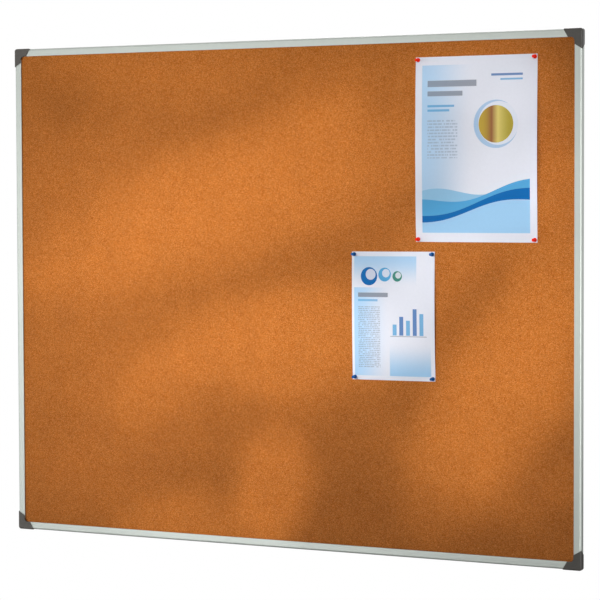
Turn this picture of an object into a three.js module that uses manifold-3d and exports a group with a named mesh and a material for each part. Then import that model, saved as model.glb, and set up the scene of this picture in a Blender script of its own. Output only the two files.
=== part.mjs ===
// A cork notice board for a wall. A cork-faced panel sits in a frame of four aluminium rails,
// which moulded corner brackets join. Clip-on caps cover the corners and the wall screws behind
// them. Two sheets of paper hang on the cork, each held by four push pins.
//
// Millimetres. Seen from the front, +X is right and +Z is up, and +Y points into the wall.
// The origin is the centre of the rear plane, which lies against the wall. A distance "forward"
// is measured from that plane towards the viewer, so it is a negative Y.

import * as THREE from 'three';
import { mergeVertices } from 'three/addons/utils/BufferGeometryUtils.js';
import Module from 'manifold-3d';

const wasm = await Module();
wasm.setup();

// Overall size of the frame, over the rails
const boardWidth = 1500;
const boardHeight = 1200;

// Clearances
const fit = 0.3; // between pieces that slide together or pass through each other
const overrun = 1; // how far a cut runs past the surface that it opens

// Frame rail: a hollow chamber at the outside, and a slot for the panel at the inside
const railWall = 1.2;
const railRound = 5; // outer front edge
const chamberWidth = 8.8;
const frontLip = 6.8; // covers the panel's edge
const rearLip = 3; // carries the panel from behind
const beadWidth = 1.2; // turned down at the end of the front lip
const beadHeight = 1;
const lipRound = 0.6;

// Panel, from the rear to the front
const backingThickness = 0.6;
const coreThickness = 6.7;
const corkThickness = 2;

// Corner bracket: a block in the corner, and a leg in each rail's chamber
const blockSide = 27;
const blockRecess = 2.5; // the block's rim lies this far behind the rails' faces
const blockWall = 2;
const basePlate = 2.6;
const wallHoleRadius = 3.5;
const wallHolePlace = 10.5; // from both outer faces
const wallBossWall = 2.4;
const wallBossHeight = 6;
const legLength = 36;
const legTaper = 6;
const legTaperDepth = 1.5;
const legFloor = 3.5;
const legRib = 1.6;

// Screw that holds a rail to a leg, countersunk in the rail's rear wall
const screwFromBlock = 20;
const screwHeadRadius = 2.6;
const screwHeadHeight = 1.3;
const screwShankRadius = 1.25;
const screwLength = 7;
const screwTip = 1.5;
const screwBossHalf = 3.4;

// Corner cap
const capPlate = 1.2;
const capWall = 1;
const capEdgeRound = 4;
const capRearGap = 0.5; // its side walls stop this short of the wall plane
const capFillet = 8; // in the inner corner, over the cork
const capStraight = 7.5; // from that fillet to the arm's end
const capSlant = 11.5; // the arms' ends lean out by this much
const pegRadius = 1.5;
const pegLength = 9;
const pegTaper = 1.2;
const pegWall = 1.3; // of the socket that takes the peg
const pegFromOuter = 6;
const pegFromEnd = 5;

// Sheets of paper: an A3 poster by the frame's top right corner, and an A4 notice below it
const paperThickness = 0.25;
const posterWidth = 297;
const posterHeight = 420;
const posterFromRight = 87.9; // from the rail's inner face, as the next is
const posterFromTop = 34.2;
const posterTurn = 0;
const noticeWidth = 210;
const noticeHeight = 297;
const noticeBelow = 22.8; // from the poster's lower edge
const noticeUnder = 47.3; // its right edge lies this far inside the poster's left edge
const noticeTurn = 0.3; // degrees, anticlockwise from the front
const pinFromEdge = 6;

// Push pin: a spool with a wide collar, a waist and a head, turned about the needle
const pinLength = 11.5;
const pinCollarRadius = 4.8;
const pinCollarHeight = 1.5;
const pinWaistRadius = 2.5;
const pinWaistHeight = 3.4;
const pinHeadRadius = 3.6;
const pinHeadHeight = 8.6;
const pinEdgeRound = 0.7;
const needleRadius = 0.55;
const needleOut = 8; // below the collar
const needleIn = 5; // inside the pin
const needlePoint = 2.5;

// Facets
const arcSteps = 5; // in a quarter turn
const boreSides = 8;
const pegSides = 12;
const bossSides = 20;
const screwSides = 16;
const pinSides = 16;
const mergeDistance = 1e-4;

// Planes, as distances forward of the wall plane
const backingRear = railWall;
const coreRear = backingRear + backingThickness;
const corkRear = coreRear + coreThickness;
const corkFront = corkRear + corkThickness;
const beadBottom = corkFront + fit;
const lipBottom = beadBottom + beadHeight;
const railFront = lipBottom + railWall;
const blockFront = railFront - blockRecess;
const capFront = railFront + capPlate;
const paperFront = corkFront + paperThickness;
const needleEnd = paperFront - needleOut;

// Places across a rail, from its outer face inwards
const chamberEnd = railWall + chamberWidth;
const slotStart = chamberEnd + railWall;
const railFace = slotStart + frontLip;
const panelEdge = slotStart + fit;

// Places at a corner, from both outer faces
const cornerRadius = railRound;
const railStart = blockSide + fit;
const blockShoulder = panelEdge - fit;
const panelChamfer = blockSide + blockShoulder + fit * Math.SQRT2 - 2 * panelEdge;
const capOffset = fit + capWall;
const filletCentre = railFace + capFillet;
const armInner = filletCentre + capStraight;
const armOuter = armInner + capSlant;
const cornerReach = armOuter + railFace;
const pegAlong = blockSide - pegFromEnd;
const pegHoleRadius = pegRadius + fit;
const needleHoleRadius = needleRadius + fit;
const legLow = railWall + fit;
const legHigh = chamberEnd - fit;
const legMiddle = (legLow + legHigh) / 2;
const legRear = railWall + fit;
const legFront = lipBottom - fit;
const legEnd = blockSide + legLength;
const screwAlong = blockSide + screwFromBlock;
const screwHoleRadius = screwShankRadius + fit;

// Places of the sheets' centres, from the board's centre
const posterRight = boardWidth / 2 - railFace - posterFromRight - posterWidth / 2;
const posterUp = boardHeight / 2 - railFace - posterFromTop - posterHeight / 2;
const noticeRight = posterRight - posterWidth / 2 + noticeUnder - noticeWidth / 2;
const noticeUp = posterUp - posterHeight / 2 - noticeBelow - noticeHeight / 2;

const quarter = Math.PI / 2;

// Turns a geometry into a solid: shared points are merged, slivers that collapse are dropped,
// and the faces are turned to point outwards.
function solidOf(geometry) {
  const bare = geometry.clone();
  bare.deleteAttribute('normal');
  bare.deleteAttribute('uv');
  const merged = mergeVertices(bare, mergeDistance);
  const points = merged.attributes.position.array;
  const index = merged.index.array;
  const faces = [];
  let volume = 0;
  for (let i = 0; i < index.length; i += 3) {
    const [a, b, c] = [index[i], index[i + 1], index[i + 2]];
    if (a === b || b === c || c === a) {
      continue;
    }
    faces.push([a, b, c]);
    const [p, q, r] = [a, b, c].map((at) => new THREE.Vector3().fromArray(points, at * 3));
    volume += p.dot(q.cross(r));
  }
  const outward = volume > 0 ? faces : faces.map(([a, b, c]) => [a, c, b]);
  return new wasm.Manifold(new wasm.Mesh({
    numProp: 3,
    vertProperties: Float32Array.from(points),
    triVerts: Uint32Array.from(outward.flat()),
  }));
}

function geometryOf(solid) {
  const mesh = solid.getMesh();
  const geometry = new THREE.BufferGeometry();
  geometry.setAttribute('position', new THREE.BufferAttribute(Float32Array.from(mesh.vertProperties), 3));
  geometry.setIndex(new THREE.BufferAttribute(Uint32Array.from(mesh.triVerts), 1));
  geometry.computeVertexNormals();
  return geometry;
}

// Pushes an outline out by one unit, then stretches it from start to end along one axis. The
// two end faces get exactly those values, so that pieces meet face to face.
function pushed(outline, start, end, place) {
  const geometry = new THREE.ExtrudeGeometry(outline, {
    depth: 1,
    bevelEnabled: false,
    curveSegments: arcSteps,
  });
  const points = geometry.attributes.position;
  for (let i = 0; i < points.count; i += 1) {
    const reach = points.getZ(i) > 0 ? end : start;
    points.setXYZ(i, ...place(points.getX(i), points.getY(i), reach));
  }
  return solidOf(geometry);
}

// An outline of (inwards, forward), pushed along a rail.
function alongRail(outline, start, end) {
  return pushed(outline, start, end, (inwards, forward, along) => [along, -forward, inwards]);
}

// The same for the other arm of a corner, mirrored in its mitre.
function alongOtherRail(outline, start, end) {
  return pushed(outline, start, end, (inwards, forward, along) => [inwards, -forward, along]);
}

// An outline of (along, forward), pushed inwards from a rail's outer face, and its mirror image.
function inwardsFrom(outline, start, end) {
  return pushed(outline, start, end, (along, forward, inwards) => [along, -forward, inwards]);
}

function inwardsFromOther(outline, start, end) {
  return pushed(outline, start, end, (along, forward, inwards) => [inwards, -forward, along]);
}

// An outline seen from the front, pushed from one plane forward to another.
function forwards(outline, rear, front) {
  return pushed(outline, rear, front, (right, up, forward) => [right, -forward, up]);
}

// A turned piece: a profile of (radius, forward) about an axis that points out of the wall.
function turned(profile, sides, right, up) {
  const points = profile.map(([radius, forward]) => new THREE.Vector2(radius, -forward));
  const geometry = new THREE.LatheGeometry(points, sides);
  geometry.translate(right, 0, up);
  return solidOf(geometry);
}

function cylinder(radius, rear, front, sides, right, up) {
  return turned([[0, rear], [radius, rear], [radius, front], [0, front]], sides, right, up);
}

function outlineOf(points) {
  return new THREE.Shape(points.map(([x, y]) => new THREE.Vector2(x, y)));
}

// A rectangle with one rounded corner, at its low inwards and high forward end.
function roundedSection(low, high, rear, front, round) {
  const outline = new THREE.Shape();
  outline.moveTo(low, rear);
  outline.lineTo(high, rear);
  outline.lineTo(high, front);
  if (round > 0) {
    outline.lineTo(low + round, front);
    outline.absarc(low + round, front - round, round, quarter, 2 * quarter, false);
  } else {
    outline.lineTo(low, front);
  }
  outline.closePath();
  return outline;
}

// The form of a frame corner, at some offset outside the rails' outer faces: two arms with a
// rounded front edge, and a turned piece where that edge goes round the corner.
function cornerForm(offset, rear, front, round) {
  const radius = cornerRadius + offset;
  const edge = Math.min(round, radius);
  const section = roundedSection(-offset, cornerReach, rear, front, edge);
  const profile = [[0, rear], [radius, rear]];
  for (let step = 0; step <= arcSteps; step += 1) {
    const angle = (step / arcSteps) * quarter;
    profile.push([radius - edge + edge * Math.cos(angle), front - edge + edge * Math.sin(angle)]);
  }
  profile.push([0, front]);
  return alongRail(section, cornerRadius, cornerReach)
    .add(alongOtherRail(section, cornerRadius, cornerReach))
    .add(turned(profile, 4 * arcSteps, cornerRadius, cornerRadius));
}

// Frame rails

function railSection() {
  const outline = new THREE.Shape();
  outline.moveTo(0, 0);
  outline.lineTo(slotStart + rearLip, 0);
  outline.lineTo(slotStart + rearLip, railWall);
  outline.lineTo(slotStart, railWall);
  outline.lineTo(slotStart, lipBottom);
  outline.lineTo(railFace - beadWidth, lipBottom);
  outline.lineTo(railFace - beadWidth, beadBottom);
  outline.lineTo(railFace, beadBottom);
  outline.lineTo(railFace, railFront - lipRound);
  outline.absarc(railFace - lipRound, railFront - lipRound, lipRound, 0, quarter, false);
  outline.lineTo(railRound, railFront);
  outline.absarc(railRound, railFront - railRound, railRound, quarter, 2 * quarter, false);
  outline.closePath();
  const chamber = roundedSection(railWall, chamberEnd, railWall, lipBottom, railRound - railWall);
  outline.holes.push(new THREE.Path(chamber.getPoints(arcSteps)));
  return outline;
}

// The countersunk hole in a rail's rear wall. Its sides keep the clearance from the screw's head.
function countersink(along) {
  const slope = (screwHeadRadius - screwShankRadius) / screwHeadHeight;
  const outer = screwHeadRadius + fit;
  return turned([
    [0, -overrun],
    [outer + slope * overrun, -overrun],
    [outer - slope * screwHeadHeight, screwHeadHeight],
    [outer - slope * screwHeadHeight, screwHeadHeight + overrun],
    [0, screwHeadHeight + overrun],
  ], screwSides, along, legMiddle);
}

function rail(length) {
  return alongRail(railSection(), railStart, length - railStart)
    .subtract(countersink(screwAlong))
    .subtract(countersink(length - screwAlong));
}

// Corner brackets

// The block seen from the front: a square with its inner corner cut off, drawn in by an inset.
function blockOutline(inset) {
  const far = blockSide - inset;
  const shoulder = blockShoulder + inset - inset * Math.SQRT2;
  return outlineOf([[inset, inset], [far, inset], [far, shoulder], [shoulder, far], [inset, far]]);
}

function legPlan() {
  return outlineOf([
    [blockSide - blockWall, legLow],
    [legEnd - legTaper, legLow],
    [legEnd, legLow + legTaperDepth],
    [legEnd, legHigh - legTaperDepth],
    [legEnd - legTaper, legHigh],
    [blockSide - blockWall, legHigh],
  ]);
}

// The hollows in a leg's front leave a floor, two side ribs, and a solid part round the screw.
function legPockets() {
  const ends = [
    [blockSide + legRib, screwAlong - screwBossHalf],
    [screwAlong + screwBossHalf, legEnd - legTaper],
  ];
  return ends.map(([start, end]) => outlineOf([
    [start, legLow + legRib],
    [end, legLow + legRib],
    [end, legHigh - legRib],
    [start, legHigh - legRib],
  ]));
}

// Swaps along and inwards, which mirrors an outline seen from the front in the corner's mitre.
function mirrored(outline) {
  return outlineOf(outline.getPoints(arcSteps).map((point) => [point.y, point.x]));
}

function bracket() {
  const body = cornerForm(0, 0, blockFront, railRound - blockRecess)
    .intersect(forwards(blockOutline(0), -overrun, railFront));
  const bossRadius = wallHoleRadius + wallBossWall;
  const socketRadius = pegHoleRadius + pegWall;
  const pegFloor = railFront - pegLength - fit;
  let solid = body.subtract(forwards(blockOutline(blockWall), basePlate, railFront));
  solid = solid.add(cylinder(bossRadius, 0, wallBossHeight, bossSides, wallHolePlace, wallHolePlace));
  const legSection = roundedSection(legLow, legHigh, legRear, legFront, railRound - railWall - fit);
  const arms = [
    {
      leg: alongRail,
      plan: (outline) => outline,
      peg: [pegAlong, pegFromOuter],
      screw: [screwAlong, legMiddle],
    },
    {
      leg: alongOtherRail,
      plan: mirrored,
      peg: [pegFromOuter, pegAlong],
      screw: [legMiddle, screwAlong],
    },
  ];
  for (const arm of arms) {
    let leg = arm.leg(legSection, blockSide - blockWall, legEnd)
      .intersect(forwards(arm.plan(legPlan()), 0, railFront));
    for (const pocket of legPockets()) {
      leg = leg.subtract(forwards(arm.plan(pocket), legRear + legFloor, railFront));
    }
    leg = leg.subtract(cylinder(screwHoleRadius, 0, screwLength + fit, boreSides, ...arm.screw));
    solid = solid
      .add(leg)
      .add(cylinder(socketRadius, 0, blockFront, pegSides, ...arm.peg))
      .subtract(cylinder(pegHoleRadius, pegFloor, railFront, pegSides, ...arm.peg));
  }
  return solid.subtract(
    cylinder(wallHoleRadius, -overrun, wallBossHeight + overrun, bossSides, wallHolePlace, wallHolePlace),
  );
}

function bracketScrew(right, up) {
  return turned([
    [0, 0],
    [screwHeadRadius, 0],
    [screwShankRadius, screwHeadHeight],
    [screwShankRadius, screwLength - screwTip],
    [0, screwLength],
  ], screwSides, right, up);
}

// Corner caps

// The cap seen from the front: an L with slanted ends and a fillet in its inner corner. Its
// outer sides run past the form that it is cut from.
function capOutline() {
  const outside = -capOffset - overrun;
  const lean = capSlant / (railFace + capOffset);
  const tip = armOuter + lean * overrun;
  const outline = new THREE.Shape();
  outline.moveTo(outside, outside);
  outline.lineTo(tip, outside);
  outline.lineTo(armInner, railFace);
  outline.lineTo(filletCentre, railFace);
  outline.absarc(filletCentre, filletCentre, capFillet, -quarter, -2 * quarter, true);
  outline.lineTo(railFace, armInner);
  outline.lineTo(outside, tip);
  outline.closePath();
  return outline;
}

// The rim under the fillet, which closes the gap down to the cork.
function capRim() {
  const outline = new THREE.Shape();
  outline.absarc(filletCentre, filletCentre, capFillet, -quarter, -2 * quarter, true);
  outline.absarc(filletCentre, filletCentre, capFillet + capWall, -2 * quarter, -quarter, false);
  outline.closePath();
  return outline;
}

// What is cut off a side wall, so that it ends on a slant from the front edge to the rear.
function sideSlant() {
  const past = armOuter + capSlant;
  return outlineOf([
    [armInner, 0],
    [armOuter, capFront],
    [past, capFront],
    [past, -overrun],
    [armInner, -overrun],
  ]);
}

function cap() {
  const outside = -capOffset - overrun;
  let solid = cornerForm(capOffset, capRearGap, capFront, capEdgeRound)
    .intersect(forwards(capOutline(), -overrun, capFront + overrun))
    .subtract(cornerForm(fit, -overrun, railFront, railRound + fit))
    .subtract(inwardsFrom(sideSlant(), outside, 0))
    .subtract(inwardsFromOther(sideSlant(), outside, 0))
    .add(forwards(capRim(), beadBottom, railFront));
  for (const [right, up] of [[pegAlong, pegFromOuter], [pegFromOuter, pegAlong]]) {
    const tip = railFront - pegLength;
    solid = solid.add(turned([
      [0, tip],
      [pegRadius - pegTaper / 2, tip],
      [pegRadius, tip + pegTaper],
      [pegRadius, railFront + capPlate / 2],
      [0, railFront + capPlate / 2],
    ], pegSides, right, up));
  }
  return solid;
}

// Panel

// A rectangle that fills the rails' slots, with its corners cut off to clear the brackets.
function panelOutline() {
  const right = boardWidth / 2 - panelEdge;
  const top = boardHeight / 2 - panelEdge;
  return outlineOf([
    [-right + panelChamfer, -top],
    [right - panelChamfer, -top],
    [right, -top + panelChamfer],
    [right, top - panelChamfer],
    [right - panelChamfer, top],
    [-right + panelChamfer, top],
    [-right, top - panelChamfer],
    [-right, -top + panelChamfer],
  ]);
}

// Sheets and pins

const degree = Math.PI / 180;
const cornerNames = ['bottom_left', 'bottom_right', 'top_right', 'top_left'];
const cornerSigns = [[-1, -1], [1, -1], [1, 1], [-1, 1]];

const sheets = [
  { name: 'poster', size: [posterWidth, posterHeight], centre: [posterRight, posterUp], turn: posterTurn },
  { name: 'notice', size: [noticeWidth, noticeHeight], centre: [noticeRight, noticeUp], turn: noticeTurn },
];

// Where a sheet's pins stand, from the sheet's own centre.
function pinPlaces(sheet) {
  return cornerSigns.map(([right, up]) => [
    right * (sheet.size[0] / 2 - pinFromEdge),
    up * (sheet.size[1] / 2 - pinFromEdge),
  ]);
}

// The same places from the board's centre.
function pinPlacesOnBoard(sheet) {
  const cos = Math.cos(sheet.turn * degree);
  const sin = Math.sin(sheet.turn * degree);
  return pinPlaces(sheet).map(([right, up]) => [
    sheet.centre[0] + right * cos - up * sin,
    sheet.centre[1] + right * sin + up * cos,
  ]);
}

function withNeedleHoles(solid, places, rear, front) {
  let drilled = solid;
  for (const [right, up] of places) {
    drilled = drilled.subtract(cylinder(needleHoleRadius, rear, front, boreSides, right, up));
  }
  return drilled;
}

function paper(sheet) {
  const [right, up] = sheet.size.map((size) => size / 2);
  const outline = outlineOf([[-right, -up], [right, -up], [right, up], [-right, up]]);
  const solid = forwards(outline, corkFront, paperFront);
  return withNeedleHoles(solid, pinPlaces(sheet), corkFront - overrun, paperFront + overrun);
}

// The spool's profile: the needle's hole, the collar, a curve through the waist up to the head,
// and a head with a rounded edge.
function pinProfile() {
  const waist = new THREE.QuadraticBezierCurve(
    new THREE.Vector2(pinWaistRadius, pinWaistHeight),
    new THREE.Vector2(pinWaistRadius, (pinWaistHeight + pinHeadHeight) / 2),
    new THREE.Vector2(pinHeadRadius, pinHeadHeight),
  );
  const profile = [
    [0, needleIn + fit],
    [needleHoleRadius, needleIn + fit],
    [needleHoleRadius, 0],
    [pinCollarRadius - pinEdgeRound / 2, 0],
    [pinCollarRadius, pinEdgeRound / 2],
    [pinCollarRadius, pinCollarHeight - pinEdgeRound],
    [pinCollarRadius - pinEdgeRound, pinCollarHeight],
  ];
  for (const point of waist.getPoints(arcSteps - 1)) {
    profile.push([point.x, point.y]);
  }
  profile.push([pinHeadRadius, pinLength - pinEdgeRound]);
  profile.push([pinHeadRadius - pinEdgeRound, pinLength]);
  profile.push([0, pinLength]);
  return profile.map(([radius, height]) => [radius, paperFront + height]);
}

function needleProfile() {
  return [
    [0, needleEnd],
    [needleRadius, needleEnd + needlePoint],
    [needleRadius, paperFront + needleIn],
    [0, paperFront + needleIn],
  ];
}

// Materials

function material(color, roughness, metalness) {
  return new THREE.MeshStandardMaterial({ color, roughness, metalness });
}

const anodised = material('#c3c8c2', 0.42, 0.85);
const darkPlastic = material('#4a4844', 0.55, 0);
const bracketPlastic = material('#3c3d3f', 0.6, 0);
const steel = material('#9a9c9e', 0.35, 1);
const cork = material('#b96d32', 0.9, 0);
const fibreboard = material('#a98a62', 0.95, 0);
const kraft = material('#a8845a', 0.9, 0);
const whitePaper = material('#dfe4ec', 0.55, 0);
const pinColours = { poster: material('#e02a10', 0.25, 0), notice: material('#0d4f9c', 0.25, 0) };

// Assembly

const board = new THREE.Group();

function addPiece(parent, name, solid, finish, right = 0, up = 0) {
  const mesh = new THREE.Mesh(geometryOf(solid), finish);
  mesh.name = name;
  mesh.position.set(right, 0, up);
  parent.add(mesh);
}

// Each corner has its own group, turned by a quarter from the last. In it, +X runs along one
// rail's outer face and +Z along the other's, away from the corner.
const railNames = ['rail_bottom', 'rail_right', 'rail_top', 'rail_left'];
const bracketSolid = bracket();
const capSolid = cap();
cornerNames.forEach((name, turn) => {
  const corner = new THREE.Group();
  const [right, up] = cornerSigns[turn];
  corner.position.set((right * boardWidth) / 2, 0, (up * boardHeight) / 2);
  corner.rotation.y = -turn * quarter;
  board.add(corner);
  addPiece(corner, railNames[turn], rail(turn % 2 ? boardHeight : boardWidth), anodised);
  addPiece(corner, `corner_bracket_${name}`, bracketSolid, bracketPlastic);
  addPiece(corner, `bracket_screw_${name}_1`, bracketScrew(screwAlong, legMiddle), steel);
  addPiece(corner, `bracket_screw_${name}_2`, bracketScrew(legMiddle, screwAlong), steel);
  addPiece(corner, `corner_cap_${name}`, capSolid, darkPlastic);
});

const allPins = sheets.flatMap(pinPlacesOnBoard);
const plainCork = forwards(panelOutline(), corkRear, corkFront);
const plainCore = forwards(panelOutline(), coreRear, corkRear);
const backing = forwards(panelOutline(), backingRear, coreRear);
const pinnedCork = withNeedleHoles(plainCork, allPins, corkRear - overrun, corkFront + overrun);
const pinnedCore = withNeedleHoles(plainCore, allPins, needleEnd - fit, corkRear + overrun);
addPiece(board, 'cork_sheet', pinnedCork, cork);
addPiece(board, 'core_board', pinnedCore, fibreboard);
addPiece(board, 'backing_sheet', backing, kraft);

for (const sheet of sheets) {
  const group = new THREE.Group();
  group.position.set(sheet.centre[0], 0, sheet.centre[1]);
  group.rotation.y = -sheet.turn * degree;
  board.add(group);
  addPiece(group, `${sheet.name}_sheet`, paper(sheet), whitePaper);
  pinPlaces(sheet).forEach(([right, up], at) => {
    const name = `${sheet.name}_pin_${cornerNames[at]}`;
    addPiece(group, name, turned(pinProfile(), pinSides, 0, 0), pinColours[sheet.name], right, up);
    addPiece(group, `${name}_needle`, turned(needleProfile(), boreSides, 0, 0), steel, right, up);
  });
}

export default board;
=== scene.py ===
# %% [markdown]
# # A cork notice board, dressed for its portrait
#
# The engineered model of a wall-hung notice board is loaded as a fixed frame. Everything after
# that is looks: extruded rails, moulded corner caps, cork, printed paper and push pins. The
# pieces are made where they sit on the board, in metres. Seen from the front, +X is right, +Z is
# up, and +Y points into the wall, so a distance forward of the wall is a negative Y.

# %% The frame
import itertools
import math

import bmesh
import bpy
from mathutils import Matrix, Vector


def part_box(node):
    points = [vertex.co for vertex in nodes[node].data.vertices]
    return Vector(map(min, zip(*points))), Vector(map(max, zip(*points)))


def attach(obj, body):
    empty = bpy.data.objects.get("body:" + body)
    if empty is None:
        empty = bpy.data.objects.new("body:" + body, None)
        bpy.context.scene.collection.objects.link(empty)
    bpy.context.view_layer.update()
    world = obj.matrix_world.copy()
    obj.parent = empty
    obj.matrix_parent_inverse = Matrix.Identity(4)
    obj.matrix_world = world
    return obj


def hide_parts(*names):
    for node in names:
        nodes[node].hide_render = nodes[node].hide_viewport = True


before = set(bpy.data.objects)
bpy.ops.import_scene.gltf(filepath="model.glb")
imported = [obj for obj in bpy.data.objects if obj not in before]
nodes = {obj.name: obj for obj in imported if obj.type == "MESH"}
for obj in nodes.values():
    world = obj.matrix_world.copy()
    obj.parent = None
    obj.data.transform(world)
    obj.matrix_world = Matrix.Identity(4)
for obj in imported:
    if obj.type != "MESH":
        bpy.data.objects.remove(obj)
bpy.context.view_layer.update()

MM = 0.001

# %% [markdown]
# ## The camera
#
# The photograph was taken from the right, a little above the board's middle, with a long lens.
# Its place and turns come from the perspective of the frame's four edges. A long lens keeps the
# near and the far side of the board close in size, and a wide one would make the board lean away.

# %% Camera
CAMERA_PLACE = (2.562928, -4.864304, 0.240037)
CAMERA_YAW = math.radians(27.395)
CAMERA_PITCH = math.radians(-2.627)
CAMERA_ROLL = math.radians(0.194)
SENSOR_WIDTH = 36
FOCAL_LENGTH = 139.77

scene = bpy.context.scene
camera = bpy.data.objects.new("camera", bpy.data.cameras.new("camera"))
scene.collection.objects.link(camera)
camera.data.sensor_width = SENSOR_WIDTH
camera.data.lens = FOCAL_LENGTH
# A camera looks along its own -Z, so it is stood up by a quarter turn before it is aimed.
camera_turn = (
    Matrix.Rotation(CAMERA_YAW, 4, "Z")
    @ Matrix.Rotation(CAMERA_PITCH, 4, "X")
    @ Matrix.Rotation(CAMERA_ROLL, 4, "Y")
    @ Matrix.Rotation(math.radians(90), 4, "X")
)
camera.matrix_world = Matrix.Translation(CAMERA_PLACE) @ camera_turn
scene.camera = camera
scene.view_settings.view_transform = "Standard"
print("camera at", CAMERA_PLACE, "with a lens of", FOCAL_LENGTH, "mm")

# %% [markdown]
# ## Small helpers
#
# Materials, light and repeated geometry are all node trees. Short functions keep their recipes
# readable: they make a node and fill its sockets, do one sum, mix colours or lay out a pattern.
# Three more take care of what every new object, mesh and material needs.

# %% Node helpers
MIX_FACTOR, MIX_FIRST, MIX_SECOND, MIX_RESULT = 0, 6, 7, 2


def put(tree, socket, value):
    """Links a socket to another socket, or gives it a plain value."""
    if isinstance(value, bpy.types.NodeSocket):
        tree.links.new(value, socket)
    else:
        socket.default_value = value


def node(tree, kind, inputs=None, **settings):
    """Makes a node, with its settings and the values or links of its inputs."""
    made = tree.nodes.new(kind)
    for name, value in settings.items():
        setattr(made, name, value)
    for key, value in (inputs or {}).items():
        put(tree, made.inputs[key], value)
    return made


def calc(tree, operation, *values, clamp=False):
    """One sum, such as ADD or DIVIDE, of numbers or sockets."""
    inputs = dict(enumerate(values))
    return node(tree, "ShaderNodeMath", inputs, operation=operation, use_clamp=clamp).outputs[0]


def times(tree, first, second, clamp=False):
    return calc(tree, "MULTIPLY", first, second, clamp=clamp)


def blended(tree, first, second, share):
    """A share of the first number, and the rest of the second."""
    return calc(tree, "ADD", times(tree, first, share), times(tree, second, 1 - share))


def spread(tree, value, low, high, least, most, **settings):
    """The run from low to high, spread over the run from least to most."""
    inputs = {0: value, 1: low, 2: high, 3: least, 4: most}
    return node(tree, "ShaderNodeMapRange", inputs, **settings).outputs[0]


def vector(tree, operation, first, second):
    """One sum of vectors. SCALE takes a number as its second value."""
    inputs = {0: first, "Scale" if operation == "SCALE" else 1: second}
    made = node(tree, "ShaderNodeVectorMath", inputs, operation=operation)
    return made.outputs["Value" if operation in ("DISTANCE", "DOT_PRODUCT") else "Vector"]


def joined(tree, x=0, y=0, z=0):
    """Three numbers as one vector."""
    return node(tree, "ShaderNodeCombineXYZ", {0: x, 1: y, 2: z}).outputs[0]


def split(tree, value, kind="XYZ"):
    """The three numbers in a vector, or with the kind Color, in a colour."""
    return node(tree, f"ShaderNodeSeparate{kind}", {0: value}).outputs


def noise(tree, where, scale, detail, output=0):
    inputs = {"Vector": where, "Scale": scale, "Detail": detail}
    return node(tree, "ShaderNodeTexNoise", inputs).outputs[output]


def cells(tree, where, scale, output="Distance", **settings):
    """One output of a pattern of Voronoi cells."""
    inputs = {"Vector": where, "Scale": scale}
    return node(tree, "ShaderNodeTexVoronoi", inputs, **settings).outputs[output]


def mixed(tree, factor, first, second):
    """Two colours mixed by a factor."""
    inputs = {MIX_FACTOR: factor, MIX_FIRST: first, MIX_SECOND: second}
    return node(tree, "ShaderNodeMix", inputs, data_type="RGBA").outputs[MIX_RESULT]


def ramp(tree, factor, stops):
    """A colour ramp through (position, colour) stops."""
    made = node(tree, "ShaderNodeValToRGB", {"Fac": factor})
    elements = made.color_ramp.elements
    while len(elements) < len(stops):
        elements.new(0.5)
    for element, (position, tint) in zip(elements, stops):
        element.position = position
        element.color = tint
    return made.outputs["Color"]


def colour(red, green, blue):
    """A colour as it looks on a screen, from 0 to 255, in the linear values that shaders use."""
    values = [value / 255 for value in (red, green, blue)]
    return tuple(v / 12.92 if v <= 0.04045 else ((v + 0.055) / 1.055) ** 2.4 for v in values) + (1.0,)


# %% Helpers for objects, meshes and materials
def as_object(name, data):
    """A new object in the scene, for a mesh or a lamp."""
    made = bpy.data.objects.new(name, data)
    scene.collection.objects.link(made)
    return made


def mesh_of(form, name):
    """The mesh of a finished bmesh form, which is freed."""
    mesh = bpy.data.meshes.new(name)
    form.to_mesh(mesh)
    form.free()
    return mesh


def bare_material(name):
    """A new material with an empty tree."""
    made = bpy.data.materials.new(name)
    made.use_nodes = True
    made.node_tree.nodes.clear()
    return made, made.node_tree


# %% [markdown]
# ## White surroundings
#
# The board stands alone on white. A world that is simply bright would also flood the board with
# light, so the world has two faces: what the camera and reflections see is plain white, and what
# lights the pieces is a softer level. The Light Path node tells the two kinds of ray apart.

# %% World
ROOM_LEVEL = 0.24
WHITE = (1, 1, 1, 1)


def rays_that_see(tree):
    """1 for rays from the camera, or by way of a reflection or a clear body, and 0 for others."""
    path = node(tree, "ShaderNodeLightPath").outputs
    seen = calc(tree, "MAXIMUM", path["Is Camera Ray"], path["Is Glossy Ray"])
    return calc(tree, "MAXIMUM", seen, path["Is Transmission Ray"])


world = bpy.data.worlds.new("surroundings")
scene.world = world
world.use_nodes = True
tree = world.node_tree
tree.nodes.clear()
lit = node(tree, "ShaderNodeBackground", {"Color": WHITE, "Strength": ROOM_LEVEL}).outputs[0]
seen = node(tree, "ShaderNodeBackground", {"Color": WHITE, "Strength": 1.0}).outputs[0]
both = node(tree, "ShaderNodeMixShader", {0: rays_that_see(tree), 1: lit, 2: seen})
node(tree, "ShaderNodeOutputWorld", {"Surface": both.outputs[0]})
print("the room lights the pieces at", ROOM_LEVEL)

# %% [markdown]
# ## The floor
#
# The board hangs at eye level, so the floor lies well below it. It only has to be there for other
# views, as a pale plane that still shows the board's soft shadow.

# %% Floor
FLOOR_DEPTH = 1.5
FLOOR_SIDE = 4.4
FLOOR_WHITE_SHARE = 0.45
FLOOR_PALE = (0.9, 0.9, 0.9, 1)

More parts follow.
